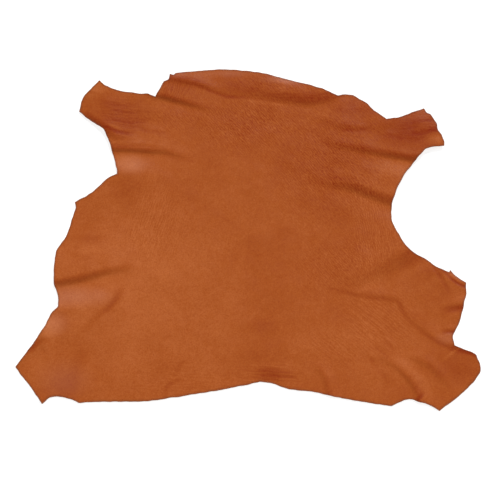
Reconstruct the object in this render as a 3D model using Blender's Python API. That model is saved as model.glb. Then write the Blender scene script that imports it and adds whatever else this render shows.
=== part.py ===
"""A whole small hide, tanned and dyed tan, laid out on a floor with its grain side up.

It is one cut sheet of leather: neck at the far end (+Y), two forelegs, two hind legs
and the tail notch at the near end (-Y). Nothing is sewn to it. The middle lies flat,
and the edges stand in the folds of a skin that was rolled and has been opened out.
"""

from collections import namedtuple
from math import sqrt

import bpy
import numpy as np
from mathutils import Vector
from mathutils.geometry import delaunay_2d_cdt

MM = 0.001

# All sizes are in mm.
THICKNESS = 1.5
FOOT_LEAD = 4.0
END_FADE = 30.0

# In lip widths: how far before the line a fold's lip has died away.
LIP_REACH = 3.0

# The mesh: its step along the cut edge, its three steps inside, how far beside a steep side the
# finest one goes on, and how high a fold has to be for a finer step. The clearance from the cut
# edge is in steps.
EDGE_STEP = 10.0
STEPS = (40.0, 20.0, 10.0)
FINE_REACH = 9.0
TALL_ENOUGH = 0.9
EDGE_CLEARANCE = 0.55
CURVE_PIECES = 8
ONLY_INSIDE = 1
MERGE_DISTANCE = 0.01

TAN_GRAIN = (0.392, 0.091, 0.022, 1.0)
GRAIN_ROUGHNESS = 0.48

EdgePoint = namedtuple("EdgePoint", "x y turn")
Fold = namedtuple("Fold", "name steep crest above lip below foot route")
Swell = namedtuple("Swell", "name x y reach_x reach_y height")

ROUND = "round"
CORNER = "corner"

# The cut edge in mm, clockwise as seen from above. A corner is where the knife turned.
CUT_EDGE = {
    "neck": (
        (-211, 353, CORNER),
        (-191, 392, CORNER),
        (-181, 397, ROUND),
        (-178, 411, CORNER),
        (-170, 408, CORNER),
        (-166, 413, CORNER),
        (-105, 421, ROUND),
        (-52, 425, ROUND),
        (27, 416, ROUND),
        (76, 402, ROUND),
        (164, 376, ROUND),
        (203, 357, CORNER),
        (222, 361, ROUND),
        (240, 357, ROUND),
        (266, 339, ROUND),
        (286, 317, ROUND),
    ),
    "right foreleg": (
        (312, 295, CORNER),
        (340, 299, ROUND),
        (368, 311, ROUND),
        (397, 322, CORNER),
        (402, 312, ROUND),
        (412, 307, ROUND),
        (425, 282, ROUND),
        (427, 266, CORNER),
        (435, 255, ROUND),
        (440, 240, ROUND),
        (440, 228, CORNER),
        (408, 224, ROUND),
        (395, 217, ROUND),
        (372, 190, ROUND),
    ),
    "right flank": (
        (349, 158, ROUND),
        (334, 129, ROUND),
        (326, 106, ROUND),
        (319, 86, ROUND),
        (318, 44, ROUND),
        (342, -8, ROUND),
        (361, -31, ROUND),
        (389, -46, ROUND),
        (412, -65, ROUND),
        (440, -79, CORNER),
        (443, -73, CORNER),
        (455, -88, ROUND),
        (476, -103, CORNER),
        (476, -128, ROUND),
    ),
    "right hind leg": (
        (469, -156, ROUND),
        (459, -195, ROUND),
        (443, -226, ROUND),
        (446, -250, CORNER),
        (474, -262, ROUND),
        (490, -270, ROUND),
        (499, -292, ROUND),
        (498, -310, ROUND),
        (484, -332, ROUND),
        (452, -364, ROUND),
        (408, -399, CORNER),
        (394, -389, ROUND),
        (365, -379, ROUND),
        (345, -372, ROUND),
        (331, -376, ROUND),
    ),
    "tail end": (
        (305, -388, CORNER),
        (261, -381, ROUND),
        (218, -374, ROUND),
        (175, -365, ROUND),
        (141, -356, ROUND),
        (86, -349, ROUND),
        (47, -335, ROUND),
        (25, -333, CORNER),
        (-9, -341, ROUND),
        (-62, -352, ROUND),
        (-140, -365, ROUND),
        (-215, -377, ROUND),
        (-316, -378, ROUND),
    ),
    "left hind leg": (
        (-361, -381, CORNER),
        (-378, -373, ROUND),
        (-404, -366, ROUND),
        (-424, -369, ROUND),
        (-440, -383, CORNER),
        (-463, -348, ROUND),
        (-481, -325, ROUND),
        (-500, -299, CORNER),
        (-467, -250, ROUND),
        (-441, -208, ROUND),
        (-429, -180, ROUND),
    ),
    "left flank": (
        (-413, -160, ROUND),
        (-414, -133, ROUND),
        (-423, -107, ROUND),
        (-425, -67, ROUND),
        (-422, -28, ROUND),
        (-401, 9, ROUND),
        (-391, 45, ROUND),
        (-383, 76, ROUND),
        (-385, 91, CORNER),
        (-347, 115, ROUND),
        (-312, 150, ROUND),
        (-292, 160, CORNER),
        (-299, 194, ROUND),
    ),
    "left foreleg": (
        (-305, 214, ROUND),
        (-311, 236, ROUND),
        (-325, 269, ROUND),
        (-343, 284, ROUND),
        (-362, 298, ROUND),
        (-382, 317, CORNER),
        (-378, 340, ROUND),
        (-371, 357, ROUND),
        (-338, 394, CORNER),
        (-325, 382, ROUND),
        (-298, 369, ROUND),
        (-247, 361, ROUND),
        (-228, 361, ROUND),
    ),
}

# Each fold runs from left to right along its darkest line. Its route's points are x and y in mm,
# and the share of the fold that shows there. Sizes are in mm. Past the line the sheet rises over
# its steep width to its crest, which dies away at above. Before the line it rises slowly to its
# lip, at below, and dies away past that. The turn between the two sides is foot wide.
FOLDS = (
    Fold(
        "neck roll left", 12, 2.8, 90, 0, 20, 3,
        ((-215, 399, 0.8), (-160, 392, 1), (-118, 383, 0.9), (-70, 370, 0.4), (-18, 362, 0)),
    ),
    Fold(
        "neck roll right", 32, 4.2, 150, 0.3, 25, 2,
        ((-70, 366, 0), (-18, 361, 0.5), (36, 351, 0.7), (81, 342, 0.9), (125, 334, 1),
         (165, 337, 0.9), (203, 352, 0.6), (230, 372, 0.3)),
    ),
    Fold(
        "neck left", 11, 5.4, 110, 1.6, 38, 3,
        ((-225, 359, 0.4), (-190, 350, 1), (-150, 339, 0.85), (-105, 325, 0.4), (-65, 311, 0)),
    ),
    Fold(
        "left foreleg edge", 16, 5.0, 95, 0, 25, 4,
        ((-360, 298, 0.6), (-345, 285, 1), (-322, 264, 1), (-300, 247, 0.5), (-262, 240, 0)),
    ),
    Fold(
        "left shoulder", 9, 4.2, 90, 4.5, 58, 3,
        ((-330, 223, 1), (-300, 220, 1), (-262, 218, 1), (-213, 215, 1), (-184, 214, 0.8),
         (-135, 199, 0)),
    ),
    Fold(
        "left belly", 16, 5.8, 130, 6.4, 62, 4,
        ((-460, -117, 1), (-420, -109, 1), (-376, -101, 1), (-341, -91, 1), (-300, -79, 0.7),
         (-235, -68, 0)),
    ),
    Fold(
        "left thigh tuck", 10, 0.9, 24, 3.2, 40, 3,
        ((-440, -172, 1), (-418, -172, 0.8), (-392, -174, 0.4), (-365, -180, 0)),
    ),
    Fold(
        "left thigh hollow", 14, 1.2, 40, 1.0, 30, 5,
        ((-485, -290, 0.8), (-461, -262, 1), (-436, -231, 0.6), (-412, -200, 0)),
    ),
    Fold(
        "right neck", 16, 1.2, 90, 0.5, 30, 6,
        ((145, 300, 0), (194, 281, 1), (214, 272, 1), (250, 270, 0.8), (286, 270, 0.7),
         (335, 272, 0)),
    ),
    Fold(
        "right shoulder", 17, 6.6, 170, 0.6, 40, 3,
        ((165, 235, 0), (206, 226, 0.3), (278, 210, 0.65), (320, 202, 0.85), (370, 193, 1),
         (412, 200, 1), (455, 218, 0.6)),
    ),
    Fold(
        "right armpit", 28, 6.0, 180, 1.0, 40, 4,
        ((125, 139, 0), (183, 129, 0.35), (215, 123, 0.8), (240, 116, 1), (279, 99, 1), (314, 86, 1),
         (345, 75, 0.9)),
    ),
    Fold(
        "right flank", 36, 5.8, 150, 2.2, 60, 10,
        ((199, -125, 0), (240, -113, 0.3), (284, -91, 0.6), (324, -68, 0.85), (360, -46, 1.1),
         (399, -21, 1.2)),
    ),
    Fold(
        "right loin", 16, 1.2, 34, 0.5, 24, 6,
        ((170, -122, 0), (220, -130, 0.6), (250, -136, 1), (309, -143, 1), (345, -160, 0)),
    ),
    Fold(
        "right thigh", 15, 1.3, 38, 0.8, 26, 6,
        ((325, -150, 0), (343, -180, 0.6), (370, -207, 0.8), (406, -241, 1), (444, -256, 1),
         (480, -268, 0.9)),
    ),
    Fold(
        "right shank", 9, 2.6, 38, 0.5, 20, 3,
        ((265, -273, 0), (286, -281, 0.3), (317, -299, 0.6), (343, -328, 1), (357, -352, 1),
         (366, -395, 0.9)),
    ),
    Fold(
        "right hock", 14, 1.8, 32, 0.5, 20, 4,
        ((335, -272, 0), (355, -281, 0.7), (386, -298, 1), (408, -320, 0.9), (430, -352, 0.4)),
    ),
    Fold(
        "rump", 9, 2.3, 32, 0.4, 20, 3,
        ((140, -289, 0), (150, -304, 0.5), (162, -322, 0.9), (168, -346, 1), (174, -375, 1.2)),
    ),
)

# Broad places that stand off the floor: x, y and reach in mm, and the height at the middle.
SWELLS = (
    Swell("left foreleg", -305, 385, 150, 140, 5),
    Swell("right foreleg", 372, 318, 150, 120, 4),
)


def smooth_route(points):
    """Points along a centripetal curve through these, in short pieces."""
    points = [Vector(point) for point in points]
    before = points[0] * 2 - points[1]
    after = points[-1] * 2 - points[-2]
    padded = [before, *points, after]
    route = []
    for first, start, end, last in zip(padded, padded[1:], padded[2:], padded[3:]):
        chord = (end - start).length
        into = chord / (chord + sqrt((start - first).length * chord))
        away = chord / (chord + sqrt((last - end).length * chord))
        start_pull = (end - first) * into * 0.5
        end_pull = (last - start) * away * 0.5
        for piece in range(CURVE_PIECES):
            part = piece / CURVE_PIECES
            route.append(
                start * (2 * part**3 - 3 * part**2 + 1)
                + start_pull * (part**3 - 2 * part**2 + part)
                + end * (3 * part**2 - 2 * part**3)
                + end_pull * (part**3 - part**2)
            )
    return [*route, points[-1]]


def cut_edge():
    """The whole outline as one closed run of points in mm, clockwise."""
    table = [EdgePoint(*row) for stretch in CUT_EDGE.values() for row in stretch]
    corners = [place for place, point in enumerate(table) if point.turn == CORNER]
    outline = []
    for start, end in zip(corners, corners[1:] + [corners[0] + len(table)]):
        stretch = [table[place % len(table)] for place in range(start, end + 1)]
        outline += evenly_spaced(smooth_route([(point.x, point.y) for point in stretch]))
    return outline


def evenly_spaced(run):
    """The same run with its points about EDGE_STEP apart, without its last one."""
    lengths = [0.0]
    for start, end in zip(run, run[1:]):
        lengths.append(lengths[-1] + (end - start).length)
    count = max(1, round(lengths[-1] / EDGE_STEP))
    places = np.arange(count) * lengths[-1] / count
    xs = np.interp(places, lengths, [point.x for point in run])
    ys = np.interp(places, lengths, [point.y for point in run])
    return [Vector(pair) for pair in zip(xs, ys)]


def hump(offset):
    """1 at 0, falling smoothly to 0 at 1 and beyond."""
    return np.clip(1 - offset**2, 0, 1) ** 2


def turned_up(run, turn):
    """0 before 0 and the same run past it, with a turn that is this wide."""
    return (run + np.sqrt(run**2 + turn**2)) / 2


def beside_fold(xy, fold):
    """How far each point lies beyond a fold's line, in mm, and the share of the fold that shows there."""
    stops = np.array(fold.route, float)
    line = np.array([tuple(point) for point in smooth_route(stops[:, :2])])
    along = (line[-1] - line[0]) / np.linalg.norm(line[-1] - line[0])
    beyond = np.array([-along[1], along[0]])
    places, offsets = (line - line[0]) @ along, (line - line[0]) @ beyond
    slopes = np.gradient(offsets, places)
    place = (xy - line[0]) @ along
    across = (xy - line[0]) @ beyond - np.interp(place, places, offsets)
    across /= np.hypot(1, np.interp(place, places, slopes))
    share = np.interp(place, (stops[:, :2] - line[0]) @ along, stops[:, 2])
    past_end = np.maximum(-place, place - places[-1])
    return across, share * hump(np.maximum(past_end, 0) / END_FADE)


def fold_height(xy, fold):
    """How high one fold lifts the sheet, in mm. Its lip dies away along its line sooner than its crest."""
    across, share = beside_fold(xy, fold)
    past_foot = across + FOOT_LEAD
    risen = np.clip(turned_up(past_foot, fold.foot) / fold.steep, 0, 1)
    crest = (1 - (1 - risen) ** 2) * hump(across / fold.above)
    before = turned_up(-past_foot, fold.foot) / fold.below
    lip = (1 - hump(before)) * hump(before / LIP_REACH)
    return share * fold.crest * crest + share**2 * fold.lip * lip


def swell_height(xy, swell):
    """How high one swell lifts the sheet, in mm."""
    away = (xy - (swell.x, swell.y)) / (swell.reach_x, swell.reach_y)
    return swell.height * hump(np.hypot(*away.T))


def sheet_height(xy):
    """The height of the flesh side in mm, which is 0 where the hide lies flat."""
    height = sum(fold_height(xy, fold) for fold in FOLDS)
    return height + sum(swell_height(xy, swell) for swell in SWELLS)


def wanted_step(xy):
    """How far apart the mesh's points may be: close on a steep side, wide where the hide is flat."""
    coarse, middling, fine = STEPS
    step = np.full(len(xy), coarse)
    for fold in FOLDS:
        across, share = beside_fold(xy, fold)
        tall = share * (fold.crest + fold.lip) > TALL_ENOUGH
        near = tall & (np.abs(across) < max(fold.above, fold.below))
        step[near] = np.minimum(step[near], middling)
        steepest = fold.steep / 3
        step[tall & (np.abs(across - steepest) < steepest + FINE_REACH)] = fine
    return step


def inner_points(outline):
    """Points inside the outline on nested triangular grids, and clear of its edge."""
    edge = np.array([tuple(point) for point in outline])
    low, high = edge.min(axis=0), edge.max(axis=0)
    kept = []
    for step in STEPS:
        row_step = step * sqrt(3) / 2
        rows = np.arange(low[1], high[1], row_step)
        for number, y in enumerate(rows):
            xs = np.arange(low[0] + (number % 2) * step / 2, high[0], step)
            grid = np.column_stack([xs, np.full(len(xs), y)])
            kept.append(grid[np.isclose(wanted_step(grid), step)])
    found = np.concatenate(kept)
    far = np.linalg.norm(found[:, None] - edge[None], axis=2).min(axis=1)
    return found[far > EDGE_CLEARANCE * np.minimum(wanted_step(found), 2 * EDGE_STEP)]


def flat_sheet():
    """The outline filled with triangles: their points in mm, and each triangle's corners."""
    outline = cut_edge()
    inside = [Vector(pair) for pair in inner_points(outline)]
    rim = list(range(len(outline)))
    points, _, faces, *_ = delaunay_2d_cdt(outline + inside, [], [rim], ONLY_INSIDE, MERGE_DISTANCE)
    return np.array([tuple(point) for point in points]), faces


def leather(name, colour, roughness):
    material = bpy.data.materials.new(name)
    material.use_nodes = True
    finish = material.node_tree.nodes["Principled BSDF"]
    finish.inputs["Base Color"].default_value = colour
    finish.inputs["Roughness"].default_value = roughness
    finish.inputs["Metallic"].default_value = 0.0
    return material


def build_hide():
    """The sheet stands on its underside, and its thickness is added upwards."""
    xy, faces = flat_sheet()
    height = sheet_height(xy)
    middle = (xy.min(axis=0) + xy.max(axis=0)) / 2
    points = np.column_stack([xy - middle, height]) * MM
    mesh = bpy.data.meshes.new("hide")
    mesh.from_pydata(points.tolist(), [], faces)
    mesh.materials.append(leather("tan leather", TAN_GRAIN, GRAIN_ROUGHNESS))
    mesh.validate()
    mesh.shade_smooth()
    hide = bpy.data.objects.new("hide", mesh)
    bpy.context.scene.collection.objects.link(hide)
    substance = hide.modifiers.new("substance", "SOLIDIFY")
    substance.thickness = THICKNESS * MM
    substance.offset = 1.0
    return hide


for old in list(bpy.data.objects):
    bpy.data.objects.remove(old)

build_hide()
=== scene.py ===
"""The looks of a small tan hide that lies on a pale floor with its grain side up.

The frame's solid gives the place and the reach. This script cuts the same outline from a
fine sheet, stands it in the same folds with the finer creases between them, and gives its
three surfaces their finish: the glazed grain side, the rough flesh side and the cut edge.
"""

from collections import namedtuple
from math import ceil, cos, radians, sin, sqrt

import bmesh
import bpy
import numpy as np
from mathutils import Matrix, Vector, noise


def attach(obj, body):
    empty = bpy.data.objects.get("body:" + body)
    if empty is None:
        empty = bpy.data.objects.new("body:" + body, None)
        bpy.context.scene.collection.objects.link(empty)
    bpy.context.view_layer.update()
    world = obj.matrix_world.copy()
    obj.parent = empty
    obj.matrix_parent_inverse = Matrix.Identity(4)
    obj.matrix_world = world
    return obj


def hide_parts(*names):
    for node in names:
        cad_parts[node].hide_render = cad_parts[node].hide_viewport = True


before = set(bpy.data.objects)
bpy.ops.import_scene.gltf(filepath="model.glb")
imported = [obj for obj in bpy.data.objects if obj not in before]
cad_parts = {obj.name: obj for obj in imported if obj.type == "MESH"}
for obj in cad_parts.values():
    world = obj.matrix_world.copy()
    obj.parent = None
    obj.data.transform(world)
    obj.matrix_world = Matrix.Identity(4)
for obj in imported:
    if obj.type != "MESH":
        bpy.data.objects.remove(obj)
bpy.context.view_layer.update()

bl_info = {
    "name": "Tan Hide",
    "version": (1, 0, 0),
    "blender": (4, 5, 0),
    "location": "View3D > Sidebar > Hide",
    "description": "A whole tanned hide laid out with its folds, and the stage it is shown on",
    "category": "Add Mesh",
}

MM = 0.001
PER_MM = 1000.0
HIDE_NODE = "hide"

EdgePoint = namedtuple("EdgePoint", "x y turn")
Fold = namedtuple("Fold", "name steep crest above lip below foot route")
Swell = namedtuple("Swell", "name x y reach_x reach_y height")
Crease = namedtuple("Crease", "name height width dye route")
Patch = namedtuple("Patch", "x y reach_x reach_y amount")

ROUND = "round"
CORNER = "corner"

# The cut edge in mm, clockwise as seen from above. A corner is where the knife turned.
CUT_EDGE = {
    "neck": (
        (-211, 353, CORNER),
        (-191, 392, CORNER),
        (-181, 397, ROUND),
        (-178, 411, CORNER),
        (-170, 408, CORNER),
        (-166, 413, CORNER),
        (-105, 421, ROUND),
        (-52, 425, ROUND),
        (27, 416, ROUND),
        (76, 402, ROUND),
        (164, 376, ROUND),
        (203, 357, CORNER),
        (222, 361, ROUND),
        (240, 357, ROUND),
        (266, 339, ROUND),
        (286, 317, ROUND),
    ),
    "right foreleg": (
        (312, 295, CORNER),
        (340, 299, ROUND),
        (368, 311, ROUND),
        (397, 322, CORNER),
        (402, 312, ROUND),
        (412, 307, ROUND),
        (425, 282, ROUND),
        (427, 266, CORNER),
        (435, 255, ROUND),
        (440, 240, ROUND),
        (440, 228, CORNER),
        (408, 224, ROUND),
        (395, 217, ROUND),
        (372, 190, ROUND),
    ),
    "right flank": (
        (349, 158, ROUND),
        (334, 129, ROUND),
        (326, 106, ROUND),
        (319, 86, ROUND),
        (318, 44, ROUND),
        (342, -8, ROUND),
        (361, -31, ROUND),
        (389, -46, ROUND),
        (412, -65, ROUND),
        (440, -79, CORNER),
        (443, -73, CORNER),
        (455, -88, ROUND),
        (476, -103, CORNER),
        (476, -128, ROUND),
    ),
    "right hind leg": (
        (469, -156, ROUND),
        (459, -195, ROUND),
        (443, -226, ROUND),
        (446, -250, CORNER),
        (474, -262, ROUND),
        (490, -270, ROUND),
        (499, -292, ROUND),
        (498, -310, ROUND),
        (484, -332, ROUND),
        (452, -364, ROUND),
        (408, -399, CORNER),
        (394, -389, ROUND),
        (365, -379, ROUND),
        (345, -372, ROUND),
        (331, -376, ROUND),
    ),
    "tail end": (
        (305, -388, CORNER),
        (261, -381, ROUND),
        (218, -374, ROUND),
        (175, -365, ROUND),
        (141, -356, ROUND),
        (86, -349, ROUND),
        (47, -335, ROUND),
        (25, -333, CORNER),
        (-9, -341, ROUND),
        (-62, -352, ROUND),
        (-140, -365, ROUND),
        (-215, -377, ROUND),
        (-316, -378, ROUND),
    ),
    "left hind leg": (
        (-361, -381, CORNER),
        (-378, -373, ROUND),
        (-404, -366, ROUND),
        (-424, -369, ROUND),
        (-440, -383, CORNER),
        (-463, -348, ROUND),
        (-481, -325, ROUND),
        (-500, -299, CORNER),
        (-467, -250, ROUND),
        (-441, -208, ROUND),
        (-429, -180, ROUND),
    ),
    "left flank": (
        (-413, -160, ROUND),
        (-414, -133, ROUND),
        (-423, -107, ROUND),
        (-425, -67, ROUND),
        (-422, -28, ROUND),
        (-401, 9, ROUND),
        (-391, 45, ROUND),
        (-383, 76, ROUND),
        (-385, 91, CORNER),
        (-347, 115, ROUND),
        (-312, 150, ROUND),
        (-292, 160, CORNER),
        (-299, 194, ROUND),
    ),
    "left foreleg": (
        (-305, 214, ROUND),
        (-311, 236, ROUND),
        (-325, 269, ROUND),
        (-343, 284, ROUND),
        (-362, 298, ROUND),
        (-382, 317, CORNER),
        (-378, 340, ROUND),
        (-371, 357, ROUND),
        (-338, 394, CORNER),
        (-325, 382, ROUND),
        (-298, 369, ROUND),
        (-247, 361, ROUND),
        (-228, 361, ROUND),
    ),
}

# Each fold runs from left to right along its darkest line. Its route's points are x and y in mm,
# and the share of the fold that shows there. Sizes are in mm. Past the line the sheet rises over
# its steep width to its crest, which dies away at above. Before the line it rises slowly to its
# lip, at below, and dies away past that. The turn between the two sides is foot wide.
FOLDS = (
    Fold(
        "neck roll left", 12, 2.8, 90, 0, 20, 3,
        ((-215, 399, 0.8), (-160, 392, 1), (-118, 383, 0.9), (-70, 370, 0.4), (-18, 362, 0)),
    ),
    Fold(
        "neck roll right", 32, 4.2, 150, 0.3, 25, 2,
        ((-70, 366, 0), (-18, 361, 0.5), (36, 351, 0.7), (81, 342, 0.9), (125, 334, 1),
         (165, 337, 0.9), (203, 352, 0.6), (230, 372, 0.3)),
    ),
    Fold(
        "neck left", 11, 5.4, 110, 1.6, 38, 3,
        ((-225, 359, 0.4), (-190, 350, 1), (-150, 339, 0.85), (-105, 325, 0.4), (-65, 311, 0)),
    ),
    Fold(
        "left foreleg edge", 16, 5.0, 95, 0, 25, 4,
        ((-360, 298, 0.6), (-345, 285, 1), (-322, 264, 1), (-300, 247, 0.5), (-262, 240, 0)),
    ),
    Fold(
        "left shoulder", 9, 4.2, 90, 4.5, 58, 3,
        ((-330, 223, 1), (-300, 220, 1), (-262, 218, 1), (-213, 215, 1), (-184, 214, 0.8),
         (-135, 199, 0)),
    ),
    Fold(
        "left belly", 16, 5.8, 130, 6.4, 62, 4,
        ((-460, -117, 1), (-420, -109, 1), (-376, -101, 1), (-341, -91, 1), (-300, -79, 0.7),
         (-235, -68, 0)),
    ),
    Fold(
        "left thigh tuck", 10, 0.9, 24, 3.2, 40, 3,
        ((-440, -172, 1), (-418, -172, 0.8), (-392, -174, 0.4), (-365, -180, 0)),
    ),
    Fold(
        "left thigh hollow", 14, 1.2, 40, 1.0, 30, 5,
        ((-485, -290, 0.8), (-461, -262, 1), (-436, -231, 0.6), (-412, -200, 0)),
    ),
    Fold(
        "right neck", 16, 1.2, 90, 0.5, 30, 6,
        ((145, 300, 0), (194, 281, 1), (214, 272, 1), (250, 270, 0.8), (286, 270, 0.7),
         (335, 272, 0)),
    ),
    Fold(
        "right shoulder", 17, 6.6, 170, 0.6, 40, 3,
        ((165, 235, 0), (206, 226, 0.3), (278, 210, 0.65), (320, 202, 0.85), (370, 193, 1),
         (412, 200, 1), (455, 218, 0.6)),
    ),
    Fold(
        "right armpit", 28, 6.0, 180, 1.0, 40, 4,
        ((125, 139, 0), (183, 129, 0.35), (215, 123, 0.8), (240, 116, 1), (279, 99, 1), (314, 86, 1),
         (345, 75, 0.9)),
    ),
    Fold(
        "right flank", 36, 5.8, 150, 2.2, 60, 10,
        ((199, -125, 0), (240, -113, 0.3), (284, -91, 0.6), (324, -68, 0.85), (360, -46, 1.1),
         (399, -21, 1.2)),
    ),
    Fold(
        "right loin", 16, 1.2, 34, 0.5, 24, 6,
        ((170, -122, 0), (220, -130, 0.6), (250, -136, 1), (309, -143, 1), (345, -160, 0)),
    ),
    Fold(
        "right thigh", 15, 1.3, 38, 0.8, 26, 6,
        ((325, -150, 0), (343, -180, 0.6), (370, -207, 0.8), (406, -241, 1), (444, -256, 1),
         (480, -268, 0.9)),
    ),
    Fold(
        "right shank", 9, 2.6, 38, 0.5, 20, 3,
        ((265, -273, 0), (286, -281, 0.3), (317, -299, 0.6), (343, -328, 1), (357, -352, 1),
         (366, -395, 0.9)),
    ),
    Fold(
        "right hock", 14, 1.8, 32, 0.5, 20, 4,
        ((335, -272, 0), (355, -281, 0.7), (386, -298, 1), (408, -320, 0.9), (430, -352, 0.4)),
    ),
    Fold(
        "rump", 9, 2.3, 32, 0.4, 20, 3,
        ((140, -289, 0), (150, -304, 0.5), (162, -322, 0.9), (168, -346, 1), (174, -375, 1.2)),
    ),
)

# Broad places that stand off the floor: x, y and reach in mm, and the height at the middle.
SWELLS = (
    Swell("left foreleg", -305, 385, 150, 140, 5),
    Swell("right foreleg", 372, 318, 150, 120, 4),
)

# Thin creases between the folds: the height to which a groove's sides stand up, its width, how much
# painted shade darkens it, and its route, with columns as above. One without height is painted shade alone.
GROOVES = (
    Crease("neck line", 0.2, 6, 0.5, ((-173, 404, 1), (-132, 398, 1), (-93, 386, 0.7), (-59, 370, 0))),
    Crease("neck line low", 0.3, 8, 0.8,
           ((-173, 396, 0.7), (-121, 385, 0.8), (-75, 365, 1), (-45, 354, 1), (-14, 354, 0.6),
            (20, 352, 0))),
    Crease("foreleg tip", 0.3, 6, 0.5, ((-366, 368, 1), (-350, 361, 1), (-325, 358, 0))),
    Crease("foreleg 1", 0.15, 10, 0.4, ((-345, 345, 0), (-320, 336, 1), (-276, 328, 0.8), (-240, 332, 0))),
    Crease("foreleg 2", 0.15, 9, 0.4, ((-339, 330, 0), (-303, 318, 1), (-267, 313, 1), (-220, 316, 0))),
    Crease("foreleg 3", 0.15, 9, 0.3, ((-337, 314, 0), (-298, 305, 1), (-262, 302, 0.6), (-237, 304, 0))),
    Crease("foreleg 4", 0.15, 10, 0.6, ((-325, 300, 0), (-293, 292, 1), (-259, 289, 1), (-217, 296, 0))),
    Crease("foreleg 5", 0.1, 9, 0.4, ((-309, 284, 0.5), (-280, 279, 1), (-252, 276, 0.8), (-221, 281, 0))),
    Crease("foreleg root", 0.4, 9, 1.0,
           ((-318, 274, 1), (-297, 264, 1), (-272, 260, 0.9), (-248, 262, 0))),
    Crease("foreleg back", 0.4, 9, 0.4,
           ((-262, 278, 0), (-235, 270, 1), (-200, 262, 0.8), (-160, 262, 0))),
    Crease("shoulder upper", 0.6, 7, 0.4,
           ((-318, 229, 1), (-265, 228, 1), (-220, 227, 0.8), (-180, 221, 0))),
    Crease("shoulder end", 0.25, 16, 0.45,
           ((-215, 216, 0), (-180, 210, 1), (-155, 202, 0.8), (-120, 190, 0))),
    Crease("belly arc", 0.4, 12, 0.75,
           ((-272, -108, 0), (-280, -130, 0.9), (-302, -162, 1), (-326, -183, 0.6), (-351, -208, 0.4),
            (-374, -238, 0))),
    Crease("thigh edge", 1.2, 9, 0.8,
           ((-468, -259, 1), (-458, -248, 1), (-443, -238, 0.6), (-424, -238, 0))),
    Crease("thigh front", 0.6, 9, 0.3, ((-453, -248, 0), (-440, -264, 1), (-425, -296, 0))),
    Crease("thigh back", 0.3, 22, 0.28,
           ((-346, -236, 0), (-361, -282, 1), (-373, -323, 1), (-386, -369, 0.4))),
    Crease("rump left", 0.7, 9, 0.3,
           ((-129, -278, 0), (-146, -294, 1), (-154, -314, 0.7), (-165, -337, 0))),
    Crease("rump left low", 0.5, 8, 0.5,
           ((-143, -323, 0), (-160, -334, 1), (-175, -346, 1), (-178, -369, 0.4))),
    Crease("flank foot", 0, 26, 0.75,
           ((262, -102, 0), (305, -82, 0.6), (345, -58, 1), (372, -40, 1), (395, -24, 0.6))),
    Crease("tip 1", 0.2, 7, 0.5, ((340, 276, 0), (372, 288, 0.6), (395, 290, 0.9), (424, 294, 1))),
    Crease("tip 2", 0.25, 9, 0.6, ((335, 250, 0), (370, 256, 0.6), (400, 262, 1), (428, 270, 1))),
    Crease("tip 3", 0.1, 8, 0.3, ((330, 264, 0), (362, 272, 1), (396, 277, 0))),
    Crease("tip 4", 0.15, 8, 0.4, ((348, 238, 0), (380, 244, 0.8), (416, 252, 0))),
    Crease("foreleg root right", 0.3, 9, 0.4,
           ((279, 250, 0), (315, 252, 1), (351, 246, 0.7), (386, 238, 0))),
    Crease("neck right 1", 0.4, 10, 0.4, ((152, 285, 0), (176, 291, 1), (207, 291, 0))),
    Crease("neck right 2", 0.5, 11, 0.5, ((196, 276, 0), (225, 270, 1), (262, 268, 1), (292, 270, 0))),
    Crease("armpit top", 0.3, 11, 0.5, ((160, 148, 0), (196, 150, 1), (232, 144, 0.8), (262, 136, 0))),
    Crease("loin", 0.3, 9, 0.55,
           ((165, -112, 0), (205, -124, 0.8), (257, -137, 0.8), (309, -142, 1), (327, -148, 1),
            (335, -169, 1), (349, -192, 0.7), (385, -225, 1), (414, -245, 1), (448, -262, 1))),
    Crease("lip", 1.3, 6, 1.2, ((434, -83, 0.6), (447, -97, 1), (460, -106, 1), (476, -114, 1))),
    Crease("lip back", 1.0, 9, 0.6, ((403, -62, 0.3), (418, -84, 1), (432, -112, 0.8), (440, -133, 0))),
    Crease("thigh end", 0.5, 10, 1.1, ((427, -248, 0), (448, -257, 1), (484, -269, 0.9))),
    Crease("edge wedge 1", 1.6, 14, 1.3, ((415, -172, 0), (442, -166, 0.7), (468, -162, 1))),
    Crease("edge wedge 2", 1.6, 9, 1.2, ((414, -222, 0), (432, -218, 0.8), (452, -219, 1))),
    Crease("edge wedge 3", 1.1, 8, 1.2, ((362, -376, 1), (370, -364, 1), (378, -354, 0))),
    Crease("shank 1", 0.6, 8, 0.35, ((288, -230, 0), (302, -245, 1), (316, -260, 0))),
    Crease("shank 2", 0.7, 9, 0.5, ((250, -268, 0), (267, -284, 1), (282, -308, 0))),
    Crease("shank 3", 0.5, 8, 0.4, ((272, -248, 0), (291, -266, 1), (307, -286, 0))),
    Crease("shank 4", 0.5, 9, 0.4, ((275, -301, 0), (292, -319, 1), (306, -346, 0))),
    Crease("tail 1", 0.5, 7, 0.5, ((-6, -307, 0), (30, -305, 1), (64, -307, 1), (98, -312, 0))),
    Crease("tail 2", 0.5, 7, 0.5, ((5, -319, 0), (43, -316, 1), (77, -321, 1), (109, -323, 0))),
    Crease("tail 3", 0.5, 7, 0.4, ((12, -330, 0), (47, -329, 1), (80, -332, 0))),
)

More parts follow.
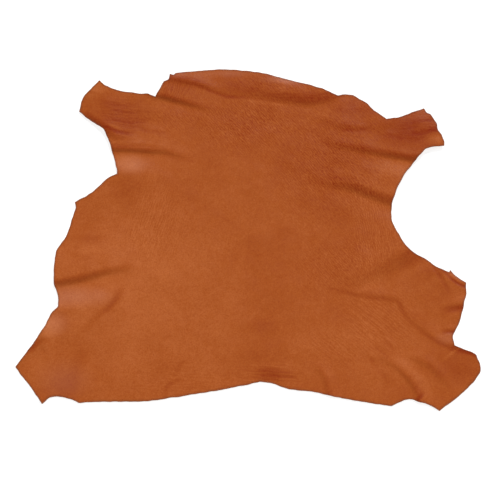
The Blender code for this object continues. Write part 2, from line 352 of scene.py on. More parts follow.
# Thin pale lines where the dye is rubbed off, with the same columns.
SCRATCHES = (
    Crease("flank side", 0, 34, 0.4, ((235, -122, 0), (267, -105, 1), (333, -66, 1), (380, -46, 0.3))),
    Crease("shank side", 0, 24, 0.4, ((292, -268, 0), (331, -292, 1), (366, -326, 1), (386, -360, 0.9))),
    Crease("hock", 0, 4, 1.0, ((416, -286, 0.4), (436, -270, 1), (460, -252, 1), (470, -247, 0))),
    Crease("under the neck roll", 0, 5, 0.4, ((-20, 344, 0), (10, 343, 1), (60, 336, 0.9), (100, 328, 0))),
    Crease("hip", 0, 5, 0.5, ((-286, -257, 0), (-268, -245, 1), (-250, -237, 0))),
    Crease("foreleg crease", 0, 7, 0.6, ((-318, 286, 0), (-300, 276, 1), (-280, 272, 0))),
)

# Soft ridges, with the same columns. One with a height below 0 is a hollow.
RIDGES = (
    Crease("foreleg band", 1.2, 18, 0, ((330, 304, 1), (309, 284, 1), (286, 260, 0))),
    Crease("neck rim", -1.0, 20, 0, ((20, 421, 0), (56, 413, 1), (95, 401, 1), (150, 384, 0))),
)

# Where the finish changes: the middle and reach of each place in mm, and how much of it shows there.
# Slanting, upright, leaning, parallel and lengthwise are the ways that fine wrinkles run. Dark places
# are deeper dye with some painted shade, worn places are thinner dye with some painted sheen, and
# hazy places are painted sheen, a pale highlight laid into the colour.
PLACES = {
    "slanting": (
        Patch(190, 200, 230, 260, 1.0),
        Patch(10, 290, 240, 120, 1.1),
        Patch(200, -60, 150, 120, 0.7),
        Patch(60, 385, 200, 50, 0.8),
        Patch(-150, 300, 120, 70, 0.8),
    ),
    "upright": (
        Patch(-205, 50, 110, 170, 1.0),
        Patch(-80, 330, 60, 60, 0.4),
        Patch(-160, 370, 95, 42, 1.6),
    ),
    "leaning": (Patch(279, 0, 90, 170, 1.0), Patch(255, 110, 80, 60, 0.8)),
    "parallel": (Patch(285, -190, 130, 120, 1.0), Patch(190, -255, 110, 80, 0.7)),
    "lengthwise": (
        Patch(-277, 309, 115, 70, 0.9),
        Patch(110, 358, 180, 36, 0.8),
        Patch(387, 271, 100, 65, 0.7),
        Patch(47, -318, 130, 50, 1.2),
        Patch(-130, -335, 200, 60, 0.7),
    ),
    # Dark places: deeper dye, and in part painted shade on the forelegs and the right side.
    "dark_dye_and_shade": (
        Patch(385, 270, 160, 95, 0.93),
        Patch(240, 320, 110, 60, 0.6),
        Patch(235, 278, 130, 45, 0.6),
        Patch(110, 354, 190, 32, 0.6),
        Patch(-20, 368, 140, 34, 0.35),
        Patch(-140, 385, 100, 40, 0.4),
        Patch(-292, 308, 125, 70, 0.5),
        Patch(-398, -335, 60, 75, 0.15),
        Patch(35, -205, 60, 28, 0.35),
        Patch(15, -275, 45, 20, 0.3),
        Patch(50, -318, 62, 22, 0.45),
        Patch(72, 20, 40, 30, 0.2),
        Patch(200, 65, 50, 45, 0.3),
        Patch(190, 215, 200, 150, 0.55),
        Patch(160, 90, 110, 70, 0.3),
        Patch(-275, 125, 50, 60, 0.4),
        Patch(50, -215, 70, 110, 0.12),
        Patch(20, 385, 230, 46, 0.5),
        Patch(402, -80, 40, 24, 0.2),
        Patch(-5, 300, 280, 130, 0.33),
        Patch(-340, 2, 65, 16, 0.35),
        Patch(450, -300, 90, 60, 0.5),
    ),
    # Painted sheen: pale highlights laid into the colour where the folds catch the light.
    "painted_sheen": (
        Patch(-385, -138, 120, 36, 0.52),
        Patch(-420, -200, 46, 38, 0.4),
        Patch(-395, -330, 80, 60, 0.28),
        Patch(-262, 182, 60, 34, 0.42),
        Patch(90, 397, 80, 15, 0.6),
        Patch(-40, 414, 70, 14, 0.4),
        Patch(430, -234, 34, 20, 0.28),
    ),
    # Worn places: thinner dye, and in part painted sheen where the far sides of folds and the left side
    # catch the light.
    "worn_and_sheen": (
        Patch(-385, -138, 115, 42, 0.3),
        Patch(-433, -208, 52, 46, 1.0),
        Patch(-266, 185, 60, 38, 0.8),
        Patch(90, 396, 80, 16, 0.35),
        Patch(335, 170, 80, 40, 0.4),
        Patch(425, 245, 40, 22, 1.0),
        Patch(-350, 375, 40, 30, 0.6),
        Patch(-250, -100, 320, 380, 0.42),
        Patch(-450, -300, 80, 60, 0.4),
        Patch(270, -240, 240, 180, 0.2),
        Patch(-350, -28, 70, 22, 0.6),
        Patch(424, -230, 40, 24, 0.2),
        Patch(428, -90, 40, 30, 0.25),
    ),
}

# The sides and ends of the folds and creases.
FOOT_LEAD = 4.0
END_FADE = 30.0
LIP_REACH = 3.0
GROOVE_SIDES = 2.2

# The cut edge and the soft waves of the sheet. Lengths are in mm.
CURVE_PIECES = 8
EDGE_STEP = 3.6
EDGE_WOBBLE = 1.2
EDGE_WOBBLE_LENGTH = 12.0
KNIFE_SEED = 5
SNAP = 0.05
WAVE_LENGTH = 90
WAVE_ROUGHNESS = 1.0
WAVE_FINER = 2.0
WAVE_OCTAVES = 3
SHARP = radians(60)

# Painted shade at the foot of a fold: how much, how far out its middle lies as a share of the steep
# side, and its least reach in mm.
FOOT_SHADE = 0.8
FOOT_SHADE_PLACE = 0.3
FOOT_SHADE_REACH = 8.0
DEEPEST_CREST = max(fold.crest for fold in FOLDS)

# The rim along the cut edge that is painted darker, a painted shadow of the edge, in mm, and how many
# points are measured from it at a time.
RIM_WIDTH = 4.5
POINTS_AT_ONCE = 4000


def linear(code):
    """An sRGB hex colour as linear red, green, blue and alpha."""
    parts = [int(code[place : place + 2], 16) / 255 for place in (1, 3, 5)]
    return (*[part / 12.92 if part <= 0.04045 else ((part + 0.055) / 1.055) ** 2.4 for part in parts], 1.0)


class HideSizes(bpy.types.PropertyGroup):
    """How the sheet is cut and how far its folds stand."""

    thickness: bpy.props.FloatProperty(
        name="Thickness", description="Substance of the leather", default=1.5 * MM, unit="LENGTH"
    )
    cell: bpy.props.FloatProperty(
        name="Cell", description="Side of the sheet's square cells", default=3.8 * MM, unit="LENGTH"
    )
    unevenness: bpy.props.FloatProperty(
        name="Unevenness", description="Height of the soft waves in the flat middle",
        default=0.8 * MM, unit="LENGTH",
    )


class HideColours(bpy.types.PropertyGroup):
    """The dye of the grain side, the painted sheen on it, and the bare fibres of the other surfaces."""

    grain: bpy.props.FloatVectorProperty(
        name="Grain", description="Tan dye of the grain side",
        default=linear("#8F461C"), size=4, subtype="COLOR",
    )
    # The deep end is also the painted shade at the feet of the folds and in the creases.
    deep: bpy.props.FloatVectorProperty(
        name="Deep grain", description="Where the dye went deepest",
        default=linear("#73240A"), size=4, subtype="COLOR",
    )
    # The pale end of the dye, for worn places and for painted sheen.
    worn_and_sheen: bpy.props.FloatVectorProperty(
        name="Worn grain", description="Where the dye was rubbed thin",
        default=linear("#AC6236"), size=4, subtype="COLOR",
    )
    # Colour of the painted sheen, a pale pinkish highlight laid into the grain's colour.
    painted_sheen_colour: bpy.props.FloatVectorProperty(
        name="Haze", description="Wax that has come out on the grain",
        default=linear("#B1897C"), size=4, subtype="COLOR",
    )
    flesh: bpy.props.FloatVectorProperty(
        name="Flesh", description="Fibres of the flesh side",
        default=linear("#B98A5E"), size=4, subtype="COLOR",
    )
    # Also the grey tint of the painted shadow along the rim.
    cut: bpy.props.FloatVectorProperty(
        name="Cut edge", description="Fibres that show where the knife went",
        default=linear("#6B4528"), size=4, subtype="COLOR",
    )


class StageSettings(bpy.types.PropertyGroup):
    """The view and the light."""

    elevation: bpy.props.FloatProperty(
        name="Elevation", description="Camera's angle above the floor",
        default=radians(66.4), subtype="ANGLE",
    )
    distance: bpy.props.FloatProperty(
        name="Distance", description="From the camera to the middle of the hide", default=4.8, unit="LENGTH"
    )
    power: bpy.props.FloatProperty(name="Power", description="Scales every lamp", default=1.0, min=0.0)
    fill: bpy.props.FloatProperty(
        name="Fill", description="Strength of the light all round", default=0.12, min=0.0
    )


def smooth_route(points):
    """Points along a centripetal curve through these, in short pieces."""
    points = [Vector(point) for point in points]
    before = points[0] * 2 - points[1]
    after = points[-1] * 2 - points[-2]
    padded = [before, *points, after]
    route = []
    for first, start, end, last in zip(padded, padded[1:], padded[2:], padded[3:]):
        chord = (end - start).length
        into = chord / (chord + sqrt((start - first).length * chord))
        away = chord / (chord + sqrt((last - end).length * chord))
        start_pull = (end - first) * into * 0.5
        end_pull = (last - start) * away * 0.5
        for piece in range(CURVE_PIECES):
            part = piece / CURVE_PIECES
            route.append(
                start * (2 * part**3 - 3 * part**2 + 1)
                + start_pull * (part**3 - 2 * part**2 + part)
                + end * (3 * part**2 - 2 * part**3)
                + end_pull * (part**3 - part**2)
            )
    return [*route, points[-1]]


def evenly_spaced(run):
    """The same run with its points about EDGE_STEP apart, without its last one."""
    lengths = [0.0]
    for start, end in zip(run, run[1:]):
        lengths.append(lengths[-1] + (end - start).length)
    count = max(1, round(lengths[-1] / EDGE_STEP))
    places = np.arange(count) * lengths[-1] / count
    xs = np.interp(places, lengths, [point.x for point in run])
    ys = np.interp(places, lengths, [point.y for point in run])
    return [Vector(pair) for pair in zip(xs, ys)]


def cut_edge():
    """The whole outline as one closed run of points in mm, clockwise."""
    noise.seed_set(KNIFE_SEED)
    points = [EdgePoint(*row) for stretch in CUT_EDGE.values() for row in stretch]
    corners = [place for place, point in enumerate(points) if point.turn == CORNER]
    outline = []
    for start, end in zip(corners, corners[1:] + [corners[0] + len(points)]):
        stretch = [points[place % len(points)] for place in range(start, end + 1)]
        outline += evenly_spaced(smooth_route([(point.x, point.y) for point in stretch]))
    return np.array([tuple(point + knife_wobble(point)) for point in outline])


def knife_wobble(point):
    """How far the knife strayed from the drawn line here, in mm."""
    return noise.noise_vector(point.to_3d() / EDGE_WOBBLE_LENGTH).to_2d() * EDGE_WOBBLE


def hump(offset):
    """1 at 0, falling smoothly to 0 at 1 and beyond."""
    return np.clip(1 - offset**2, 0, 1) ** 2


def turned_up(run, turn):
    """0 before 0 and the same run past it, with a turn that is this wide."""
    return (run + np.sqrt(run**2 + turn**2)) / 2


def beside_route(xy, route):
    """How far each point lies beyond a route, in mm, and the share that shows there."""
    stops = np.array(route, float)
    line = np.array([tuple(point) for point in smooth_route(stops[:, :2])])
    along = (line[-1] - line[0]) / np.linalg.norm(line[-1] - line[0])
    beyond = np.array([-along[1], along[0]])
    places, offsets = (line - line[0]) @ along, (line - line[0]) @ beyond
    slopes = np.gradient(offsets, places)
    place = (xy - line[0]) @ along
    across = (xy - line[0]) @ beyond - np.interp(place, places, offsets)
    across /= np.hypot(1, np.interp(place, places, slopes))
    share = np.interp(place, (stops[:, :2] - line[0]) @ along, stops[:, 2])
    past_end = np.maximum(-place, place - places[-1])
    return across, share * hump(np.maximum(past_end, 0) / END_FADE)


def fold_height(xy, fold):
    """How high one fold lifts the sheet, in mm. Its lip dies away along its line before its crest."""
    across, share = beside_route(xy, fold.route)
    past_foot = across + FOOT_LEAD
    risen = np.clip(turned_up(past_foot, fold.foot) / fold.steep, 0, 1)
    crest = (1 - (1 - risen) ** 2) * hump(across / fold.above)
    before = turned_up(-past_foot, fold.foot) / fold.below
    lip = (1 - hump(before)) * hump(before / LIP_REACH)
    return share * fold.crest * crest + share**2 * fold.lip * lip


def swell_height(xy, swell):
    """How high one swell lifts the sheet, in mm."""
    away = (xy - (swell.x, swell.y)) / (swell.reach_x, swell.reach_y)
    return swell.height * hump(np.hypot(*away.T))


def groove_height(xy, groove):
    """How high the sides of one groove stand, in mm. Its bottom stays where the sheet is."""
    across, share = beside_route(xy, groove.route)
    sides = hump(across / (GROOVE_SIDES * groove.width)) - hump(across / groove.width)
    return groove.height * share * sides


def ridge_height(xy, ridge):
    """How high one ridge lifts the sheet, in mm."""
    across, share = beside_route(xy, ridge.route)
    return ridge.height * share * hump(across / ridge.width)


def sheet_height(xy):
    """The height of the flesh side in mm, which is 0 where the hide lies flat."""
    height = sum(fold_height(xy, fold) for fold in FOLDS)
    height += sum(swell_height(xy, swell) for swell in SWELLS)
    height += sum(groove_height(xy, groove) for groove in GROOVES)
    return height + sum(ridge_height(xy, ridge) for ridge in RIDGES)


def place_share(xy, patches):
    """How much of one finish shows at each point."""
    shares = []
    for patch in patches:
        away = (xy - (patch.x, patch.y)) / (patch.reach_x, patch.reach_y)
        shares.append(patch.amount * hump(np.hypot(*away.T)))
    return np.max(shares, axis=0)


def fold_foot_shade(xy):
    """How much painted shade lies at the foot of the folds at each point."""
    shares = np.zeros(len(xy))
    for fold in FOLDS:
        across, share = beside_route(xy, fold.route)
        middle = FOOT_SHADE_PLACE * fold.steep
        dyed = hump((across - middle) / (FOOT_SHADE_REACH + middle))
        shares = np.maximum(shares, share * fold.crest / DEEPEST_CREST * dyed)
    return shares * FOOT_SHADE


def line_share(xy, lines):
    """How much of these lines' finish shows at each point."""
    shares = np.zeros(len(xy))
    for line in lines:
        across, share = beside_route(xy, line.route)
        shares = np.maximum(shares, share * line.dye * hump(across / line.width))
    return shares


def edge_distance(xy, outline):
    """How far each point lies from the cut edge, in mm."""
    found = []
    for start in range(0, len(xy), POINTS_AT_ONCE):
        some = xy[start : start + POINTS_AT_ONCE]
        found.append(np.sqrt(((some[:, None] - outline[None]) ** 2).sum(axis=2).min(axis=1)))
    return np.concatenate(found)


def slice_across(sheet, axis, cell):
    """Cuts the sheet by planes a cell apart. Only what lies past the last plane is cut again."""
    places = [vert.co[axis] for vert in sheet.verts]
    first = min(places)
    normal = Vector((0, 0, 0))
    normal[axis] = 1
    rest = sheet.faces[:]
    for number in range(1, ceil((max(places) - first) / cell)):
        place = first + number * cell
        pieces = set(rest)
        for face in rest:
            pieces.update(face.edges)
            pieces.update(face.verts)
        cut = bmesh.ops.bisect_plane(
            sheet, geom=list(pieces), dist=SNAP, plane_co=normal * place, plane_no=normal
        )
        rest = [
            piece
            for piece in cut["geom"]
            if isinstance(piece, bmesh.types.BMFace) and piece.calc_center_median()[axis] > place
        ]


def soft_wave(x, y):
    """How uneven the skin lies here, without a unit."""
    place = (x / WAVE_LENGTH, y / WAVE_LENGTH, 0)
    return noise.fractal(place, WAVE_ROUGHNESS, WAVE_FINER, WAVE_OCTAVES)


def cut_sheet(outline, cell):
    """The outline as one flat face, in mm, cut into square cells."""
    sheet = bmesh.new()
    sheet.faces.new([sheet.verts.new((x, y, 0)) for x, y in outline[::-1]])
    slice_across(sheet, 0, cell)
    slice_across(sheet, 1, cell)
    bmesh.ops.dissolve_degenerate(sheet, dist=SNAP, edges=sheet.edges[:])
    return sheet


def add(tree, kind, settings=None, sockets=None):
    """One node with its own settings, and its sockets set to a value or linked to an output."""
    made = tree.nodes.new(kind)
    for name, value in (settings or {}).items():
        setattr(made, name, value)
    for name, value in (sockets or {}).items():
        if isinstance(value, bpy.types.NodeSocket):
            tree.links.new(value, made.inputs[name])
        else:
            made.inputs[name].default_value = value
    return made


def new_material(name):
    material = bpy.data.materials.new(name)
    material.use_nodes = True
    return material, material.node_tree, material.node_tree.nodes["Principled BSDF"]


# Patches of uneven dye: their size in mm, and how far they shift the tone.
MOTTLES = ((150, 0.06), (55, 0.04), (20, 0.03), (8, 0.04), (3, 0.11))

# How far the places, the painted shade in the creases and the painted shadow along the rim shift the
# tone of the dye. 0 is pale, for worn dye and painted sheen, 0.5 is plain, and 1 is deep, for deep dye and
# painted shade.
TONE_SHIFTS = (("dark_dye_and_shade", 0.34), ("worn_and_sheen", -0.3), ("painted_crease_shade", 0.34), ("rim", 0.3))

Wrinkle = namedtuple("Wrinkle", "place angle apart length height dye")

# Fine wrinkles of loose skin: the place they fill, which way they run, how far apart they lie and how
# long they are in mm, how high they stand in mm, and how much painted shade lies between them and
# painted highlight on them. They are drawn coarser than real ones, so that they show.
WRINKLES = (
    Wrinkle("slanting", radians(-50), 4.6, 9, 0.05, 0.34),
    Wrinkle("upright", radians(74), 5.2, 20, 0.03, 0.15),
    Wrinkle("leaning", radians(-80), 4.8, 14, 0.04, 0.22),
    Wrinkle("parallel", radians(-42), 6.6, 26, 0.03, 0.17),
    Wrinkle("lengthwise", radians(-4), 8.0, 26, 0.03, 0.13),
)

# Bands of the wave texture at scale 1 are 0.314 apart, so that this sets them 1 apart.
WAVE_SCALE = 0.314

# Sizes of the patterns in mm. Pores and grain are drawn coarser than real ones, so that they show.
PORE_SPACING = 4.0
GRAIN_SIZE = 4.5
GRAIN_HEIGHT = 0.3
POLISH_SIZE = 30
CLUMP_SIZE = 12
NAP_SIZE = 2.5
NAP_HEIGHT = 0.8
FIBRE_SIZE = 3
FIBRE_HEIGHT = 0.6

# The most that the painted sheen and the painted shadow along the rim hide of the dye.
PAINTED_SHEEN_MOST = 0.19
RIM_SHADOW_MOST = 0.55


def tone_with_painted_light(tree, place):
    """The tone of the dye: patches of many sizes, the marked places with their painted shade and sheen,
    painted shade in the creases and a painted shadow along the rim.
    """
    tone = 0.5
    for size, amount in MOTTLES:
        mottle = add(
            tree, "ShaderNodeTexNoise", sockets={"Vector": place, "Scale": PER_MM / size, "Detail": 2.0}
        ).outputs["Fac"]
        shift = add(
            tree, "ShaderNodeMapRange", {"clamp": False},
            {"Value": mottle, "From Min": 0.25, "From Max": 0.75, "To Min": -amount, "To Max": amount},
        ).outputs["Result"]
        tone = add(tree, "ShaderNodeMath", {"operation": "ADD"}, {0: tone, 1: shift}).outputs["Value"]
    for name, amount in TONE_SHIFTS:
        share = add(tree, "ShaderNodeAttribute", {"attribute_name": name}).outputs["Fac"]
        tone = add(
            tree, "ShaderNodeMath", {"operation": "MULTIPLY_ADD"}, {0: share, 1: amount, 2: tone}
        ).outputs["Value"]
    return tone


def grain_height(tree, place):
    """The pebbled relief of the grain, in mm."""
    pebbles = add(
        tree, "ShaderNodeTexNoise",
        sockets={"Vector": place, "Scale": PER_MM / GRAIN_SIZE, "Detail": 3.0, "Roughness": 0.6},
    ).outputs["Fac"]
    return add(
        tree, "ShaderNodeMath", {"operation": "MULTIPLY"}, {0: pebbles, 1: GRAIN_HEIGHT}
    ).outputs["Value"]


def wrinkled(tree, place, wrinkle):
    """Wavy lines where this wrinkle shows, from -0.5 between them to 0.5 on them."""
    share = add(tree, "ShaderNodeAttribute", {"attribute_name": wrinkle.place}).outputs["Fac"]
    turned = add(
        tree, "ShaderNodeMapping", {"vector_type": "TEXTURE"},
        {
            "Vector": place, "Rotation": (0, 0, wrinkle.angle),
            "Scale": (wrinkle.length * MM, wrinkle.apart * MM, wrinkle.apart * MM),
        },
    ).outputs["Vector"]
    bands = add(
        tree, "ShaderNodeTexWave", {"bands_direction": "Y"},
        {"Vector": turned, "Scale": WAVE_SCALE, "Distortion": 7.0, "Detail": 1.0, "Detail Scale": 2.5},
    ).outputs["Fac"]
    centred = add(tree, "ShaderNodeMath", {"operation": "SUBTRACT"}, {0: bands, 1: 0.5}).outputs["Value"]
    return add(tree, "ShaderNodeMath", {"operation": "MULTIPLY"}, {0: share, 1: centred}).outputs["Value"]


def dyed_grain(tree, place, tone, colours):
    """The colour of the grain side: the dye at this tone, deeper in the pores, under painted sheen and a
    painted shadow along the rim.
    """
    dye = add(tree, "ShaderNodeValToRGB", sockets={"Fac": tone})
    stops = dye.color_ramp.elements
    # The pale end serves worn dye and painted sheen, the deep end deep dye and painted shade.
    stops[0].color = colours.worn_and_sheen
    stops[1].color = colours.deep
    stops.new(0.5).color = colours.grain
    pores = add(tree, "ShaderNodeTexVoronoi", sockets={"Vector": place, "Scale": PER_MM / PORE_SPACING})
    pore = add(
        tree, "ShaderNodeMapRange",
        sockets={"Value": pores.outputs["Distance"], "From Max": 0.35, "To Min": 0.45, "To Max": 0},
    ).outputs["Result"]
    colour = add(
        tree, "ShaderNodeMix", {"data_type": "RGBA"},
        {"Factor": pore, "A": dye.outputs["Color"], "B": colours.deep},
    ).outputs["Result"]
    # First the painted sheen, then the painted shadow along the rim, mixed over the dye.
    for name, most, tint in (("painted_sheen", PAINTED_SHEEN_MOST, colours.painted_sheen_colour), ("rim", RIM_SHADOW_MOST, colours.cut)):
        share = add(tree, "ShaderNodeAttribute", {"attribute_name": name}).outputs["Fac"]
        part = add(tree, "ShaderNodeMath", {"operation": "MULTIPLY"}, {0: share, 1: most}).outputs["Value"]
        colour = add(
            tree, "ShaderNodeMix", {"data_type": "RGBA"}, {"Factor": part, "A": colour, "B": tint}
        ).outputs["Result"]
    return colour


def grain_leather(colours):
    """Vegetable-tanned skin, drum dyed and glazed: uneven dye with painted shade and painted sheen in it,
    under a low sheen.
    """
    material, tree, finish = new_material("glazed tan grain leather")
    place = add(tree, "ShaderNodeTexCoord").outputs["Object"]
    tone = tone_with_painted_light(tree, place)
    height = grain_height(tree, place)
    for wrinkle in WRINKLES:
        shown = wrinkled(tree, place, wrinkle)
        height = add(
            tree, "ShaderNodeMath", {"operation": "MULTIPLY_ADD"}, {0: shown, 1: wrinkle.height, 2: height}
        ).outputs["Value"]
        # Painted highlight on the wrinkles and painted shade between them: the tone is paler where they
        # stand up.
        tone = add(
            tree, "ShaderNodeMath", {"operation": "MULTIPLY_ADD"}, {0: shown, 1: -wrinkle.dye, 2: tone}
        ).outputs["Value"]
    tree.links.new(dyed_grain(tree, place, tone, colours), finish.inputs["Base Color"])
    relief = add(tree, "ShaderNodeBump", sockets={"Height": height, "Distance": MM}).outputs["Normal"]
    tree.links.new(relief, finish.inputs["Normal"])
    polish = add(
        tree, "ShaderNodeTexNoise", sockets={"Vector": place, "Scale": PER_MM / POLISH_SIZE, "Detail": 3.0}
    ).outputs["Fac"]
    roughness = add(
        tree, "ShaderNodeMapRange",
        sockets={"Value": polish, "From Min": 0.3, "From Max": 0.7, "To Min": 0.23, "To Max": 0.33},
    ).outputs["Result"]
    tree.links.new(roughness, finish.inputs["Roughness"])
    finish.inputs["Specular IOR Level"].default_value = 0.06
    return material


def flesh_leather(colours):
    """The flesh side: short raised fibres in clumps, dry and without shine."""
    material, tree, finish = new_material("napped flesh side")
    place = add(tree, "ShaderNodeTexCoord").outputs["Object"]
    clumps = add(
        tree, "ShaderNodeTexNoise",
        sockets={"Vector": place, "Scale": PER_MM / CLUMP_SIZE, "Detail": 4.0, "Roughness": 0.65},
    ).outputs["Fac"]
    colour = add(
        tree, "ShaderNodeMix", {"data_type": "RGBA"},
        {"Factor": clumps, "A": colours.flesh, "B": colours.cut},
    ).outputs["Result"]
    tree.links.new(colour, finish.inputs["Base Color"])
    nap = add(
        tree, "ShaderNodeTexNoise",
        sockets={"Vector": place, "Scale": PER_MM / NAP_SIZE, "Detail": 3.0, "Roughness": 0.7},
    ).outputs["Fac"]
    relief = add(
        tree, "ShaderNodeBump", sockets={"Height": nap, "Distance": NAP_HEIGHT * MM}
    ).outputs["Normal"]
    tree.links.new(relief, finish.inputs["Normal"])
    finish.inputs["Roughness"].default_value = 0.92
    finish.inputs["Specular IOR Level"].default_value = 0.15
    finish.inputs["Sheen Weight"].default_value = 0.25
    return material


def cut_leather(colours):
    """The cut edge: the packed fibres of the middle of the skin, with a little of the dye."""
    material, tree, finish = new_material("raw cut edge")
    place = add(tree, "ShaderNodeTexCoord").outputs["Object"]
    fibres = add(
        tree, "ShaderNodeTexNoise",
        sockets={"Vector": place, "Scale": PER_MM / FIBRE_SIZE, "Detail": 3.0, "Roughness": 0.7},
    ).outputs["Fac"]
    colour = add(
        tree, "ShaderNodeMix", {"data_type": "RGBA"},
        {"Factor": fibres, "A": colours.cut, "B": colours.grain},
    ).outputs["Result"]
    tree.links.new(colour, finish.inputs["Base Color"])
    relief = add(
        tree, "ShaderNodeBump", sockets={"Height": fibres, "Distance": FIBRE_HEIGHT * MM}
    ).outputs["Normal"]
    tree.links.new(relief, finish.inputs["Normal"])
    finish.inputs["Roughness"].default_value = 0.8
    finish.inputs["Specular IOR Level"].default_value = 0.2
    return material


GRAIN, FLESH, CUT = range(3)


def mark_places(mesh, middle, outline):
    """Writes on each point how much of every place's finish shows there."""
    flat = np.empty(len(mesh.vertices) * 3)
    mesh.vertices.foreach_get("co", flat)
    xy = flat.reshape(-1, 3)[:, :2] / MM + middle
    shares = {name: place_share(xy, patches) for name, patches in PLACES.items()}
    # Painted shade at the feet of the folds and along the grooves.
    shares["painted_crease_shade"] = np.maximum(fold_foot_shade(xy), line_share(xy, GROOVES))
    shares["worn_and_sheen"] = np.maximum(shares["worn_and_sheen"], line_share(xy, SCRATCHES))
    # A painted shadow along the cut edge: the tone deepens and greys towards the rim.
    shares["rim"] = hump(edge_distance(xy, outline) / RIM_WIDTH)
    for name, share in shares.items():
        mesh.attributes.new(name, "FLOAT", "POINT").data.foreach_set("value", share)


class HIDE_OT_sheet(bpy.types.Operator):
    """Cut the hide from a sheet and lay it in its folds"""

    bl_idname = "hide.sheet"
    bl_label = "Lay the hide"

    def execute(self, context):
        sizes = context.scene.hide_sizes
        colours = context.scene.hide_colours
        outline = cut_edge()
        sheet = cut_sheet(outline, sizes.cell / MM)
        flat = np.array([vert.co[:2] for vert in sheet.verts])
        wave = np.array([soft_wave(x, y) for x, y in flat])
        height = sheet_height(flat) + (wave - wave.min()) * sizes.unevenness / MM
        flesh_faces = sheet.faces[:]
        flesh_verts = sheet.verts[:]
        raised = bmesh.ops.extrude_face_region(sheet, geom=flesh_faces, use_keep_orig=True)
        grain_faces = [piece for piece in raised["geom"] if isinstance(piece, bmesh.types.BMFace)]
        grain_verts = [piece for piece in raised["geom"] if isinstance(piece, bmesh.types.BMVert)]
        for face in sheet.faces:
            face.material_index = CUT
        for face in grain_faces:
            face.material_index = GRAIN
        for face in flesh_faces:
            face.material_index = FLESH
        heights = {}
        for vert, z in zip(flesh_verts, height):
            heights[vert.co.x, vert.co.y] = z
        middle = (flat.min(axis=0) + flat.max(axis=0)) / 2
        for vert in grain_verts:
            vert.co.z = heights[vert.co.x, vert.co.y] + sizes.thickness / MM
        for vert, z in zip(flesh_verts, height):
            vert.co.z = z
        bmesh.ops.translate(sheet, vec=(-middle[0], -middle[1], 0), verts=sheet.verts)
        bmesh.ops.scale(sheet, vec=(MM, MM, MM), verts=sheet.verts)
        bmesh.ops.recalc_face_normals(sheet, faces=sheet.faces)
        mesh = bpy.data.meshes.new("hide_leather")
        sheet.to_mesh(mesh)
        sheet.free()
        mark_places(mesh, middle, outline)
        for material in (grain_leather(colours), flesh_leather(colours), cut_leather(colours)):
            mesh.materials.append(material)
        mesh.shade_smooth()
        mesh.set_sharp_from_angle(angle=SHARP)
        leather = bpy.data.objects.new("hide_leather", mesh)
        context.scene.collection.objects.link(leather)
        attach(leather, "root")
        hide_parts(HIDE_NODE)
        return {"FINISHED"}


Lamp = namedtuple("Lamp", "name x y z size power")

# Soft boxes in metres and watts. The strong one stands behind the hide, a little to the right, so
# the far sides of the folds catch it and their near sides fall dark.
LAMPS = (
    Lamp("back", 4.4, 15.8, 11.9, 7.2, 5600),
    Lamp("left", -5.4, 0.3, 3.6, 3.0, 140),
    Lamp("right", 5.4, -0.2, 3.6, 3.0, 140),
    Lamp("front", -0.4, -5.4, 3.4, 3.0, 170),
)

# The picture's scale and size, the camera's sensor in mm, and the place that it looks at.
MM_PER_PIXEL = 2.2
FRAME_PIXELS = 500
SENSOR = 36.0
AIM = (4.4 * MM, -37.0 * MM, 0.0)

FLOOR_REACH = 8.0
FLOOR_DROP = 0.3 * MM
FLOOR_TONE = 0.35
FLOOR_GLOW = 0.72


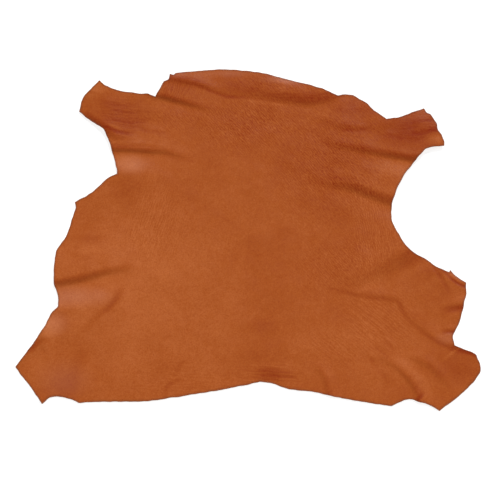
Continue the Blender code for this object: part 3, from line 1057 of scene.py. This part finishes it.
class HIDE_OT_stage(bpy.types.Operator):
    """Set the floor, the lights and the camera"""

    bl_idname = "hide.stage"
    bl_label = "Set the stage"

    def execute(self, context):
        scene = context.scene
        stage = scene.hide_stage
        scene.view_settings.view_transform = "Standard"
        self.floor(scene)
        self.light(scene, stage)
        self.camera(scene, stage)
        return {"FINISHED"}

    def floor(self, scene):
        plane = bmesh.new()
        bmesh.ops.create_grid(plane, x_segments=1, y_segments=1, size=FLOOR_REACH)
        bmesh.ops.translate(plane, vec=(0, 0, -FLOOR_DROP), verts=plane.verts)
        mesh = bpy.data.meshes.new("floor")
        plane.to_mesh(mesh)
        plane.free()
        material, _, finish = new_material("white acrylic light table")
        finish.inputs["Base Color"].default_value = (FLOOR_TONE, FLOOR_TONE, FLOOR_TONE, 1.0)
        finish.inputs["Emission Color"].default_value = (1, 1, 1, 1)
        finish.inputs["Emission Strength"].default_value = FLOOR_GLOW
        finish.inputs["Roughness"].default_value = 0.95
        finish.inputs["Specular IOR Level"].default_value = 0.1
        mesh.materials.append(material)
        floor = bpy.data.objects.new("floor", mesh)
        scene.collection.objects.link(floor)

    def light(self, scene, stage):
        for row in LAMPS:
            light = bpy.data.lights.new(row.name, "AREA")
            light.energy = row.power * stage.power
            light.size = row.size
            lamp = bpy.data.objects.new(row.name, light)
            lamp.location = (row.x, row.y, row.z)
            lamp.rotation_euler = (-lamp.location).to_track_quat("-Z", "Y").to_euler()
            scene.collection.objects.link(lamp)
        world = bpy.data.worlds.new("soft white room")
        world.use_nodes = True
        world.node_tree.nodes["Background"].inputs["Color"].default_value = (1, 1, 1, 1)
        world.node_tree.nodes["Background"].inputs["Strength"].default_value = stage.fill
        scene.world = world

    def camera(self, scene, stage):
        lens = bpy.data.cameras.new("camera")
        lens.sensor_width = SENSOR
        lens.lens = SENSOR * stage.distance / (MM_PER_PIXEL * MM * FRAME_PIXELS)
        camera = bpy.data.objects.new("camera", lens)
        away = Vector((0, -cos(stage.elevation), sin(stage.elevation))) * stage.distance
        camera.location = Vector(AIM) + away
        camera.rotation_euler = (radians(90) - stage.elevation, 0, 0)
        scene.collection.objects.link(camera)
        scene.camera = camera


class HIDE_PT_panel(bpy.types.Panel):
    """The hide's pieces and stage"""

    bl_label = "Hide"
    bl_idname = "HIDE_PT_panel"
    bl_space_type = "VIEW_3D"
    bl_region_type = "UI"
    bl_category = "Hide"

    def draw(self, context):
        for group in (context.scene.hide_sizes, context.scene.hide_colours, context.scene.hide_stage):
            for name in group.__annotations__:
                self.layout.prop(group, name)
        self.layout.operator(HIDE_OT_sheet.bl_idname)
        self.layout.operator(HIDE_OT_stage.bl_idname)


CLASSES = (HideSizes, HideColours, StageSettings, HIDE_OT_sheet, HIDE_OT_stage, HIDE_PT_panel)


def register():
    for cls in CLASSES:
        bpy.utils.register_class(cls)
    bpy.types.Scene.hide_sizes = bpy.props.PointerProperty(type=HideSizes)
    bpy.types.Scene.hide_colours = bpy.props.PointerProperty(type=HideColours)
    bpy.types.Scene.hide_stage = bpy.props.PointerProperty(type=StageSettings)


def unregister():
    del bpy.types.Scene.hide_stage
    del bpy.types.Scene.hide_colours
    del bpy.types.Scene.hide_sizes
    for cls in reversed(CLASSES):
        bpy.utils.unregister_class(cls)


def main():
    register()
    bpy.ops.hide.stage()
    bpy.ops.hide.sheet()


if __name__ == "__main__":
    main()
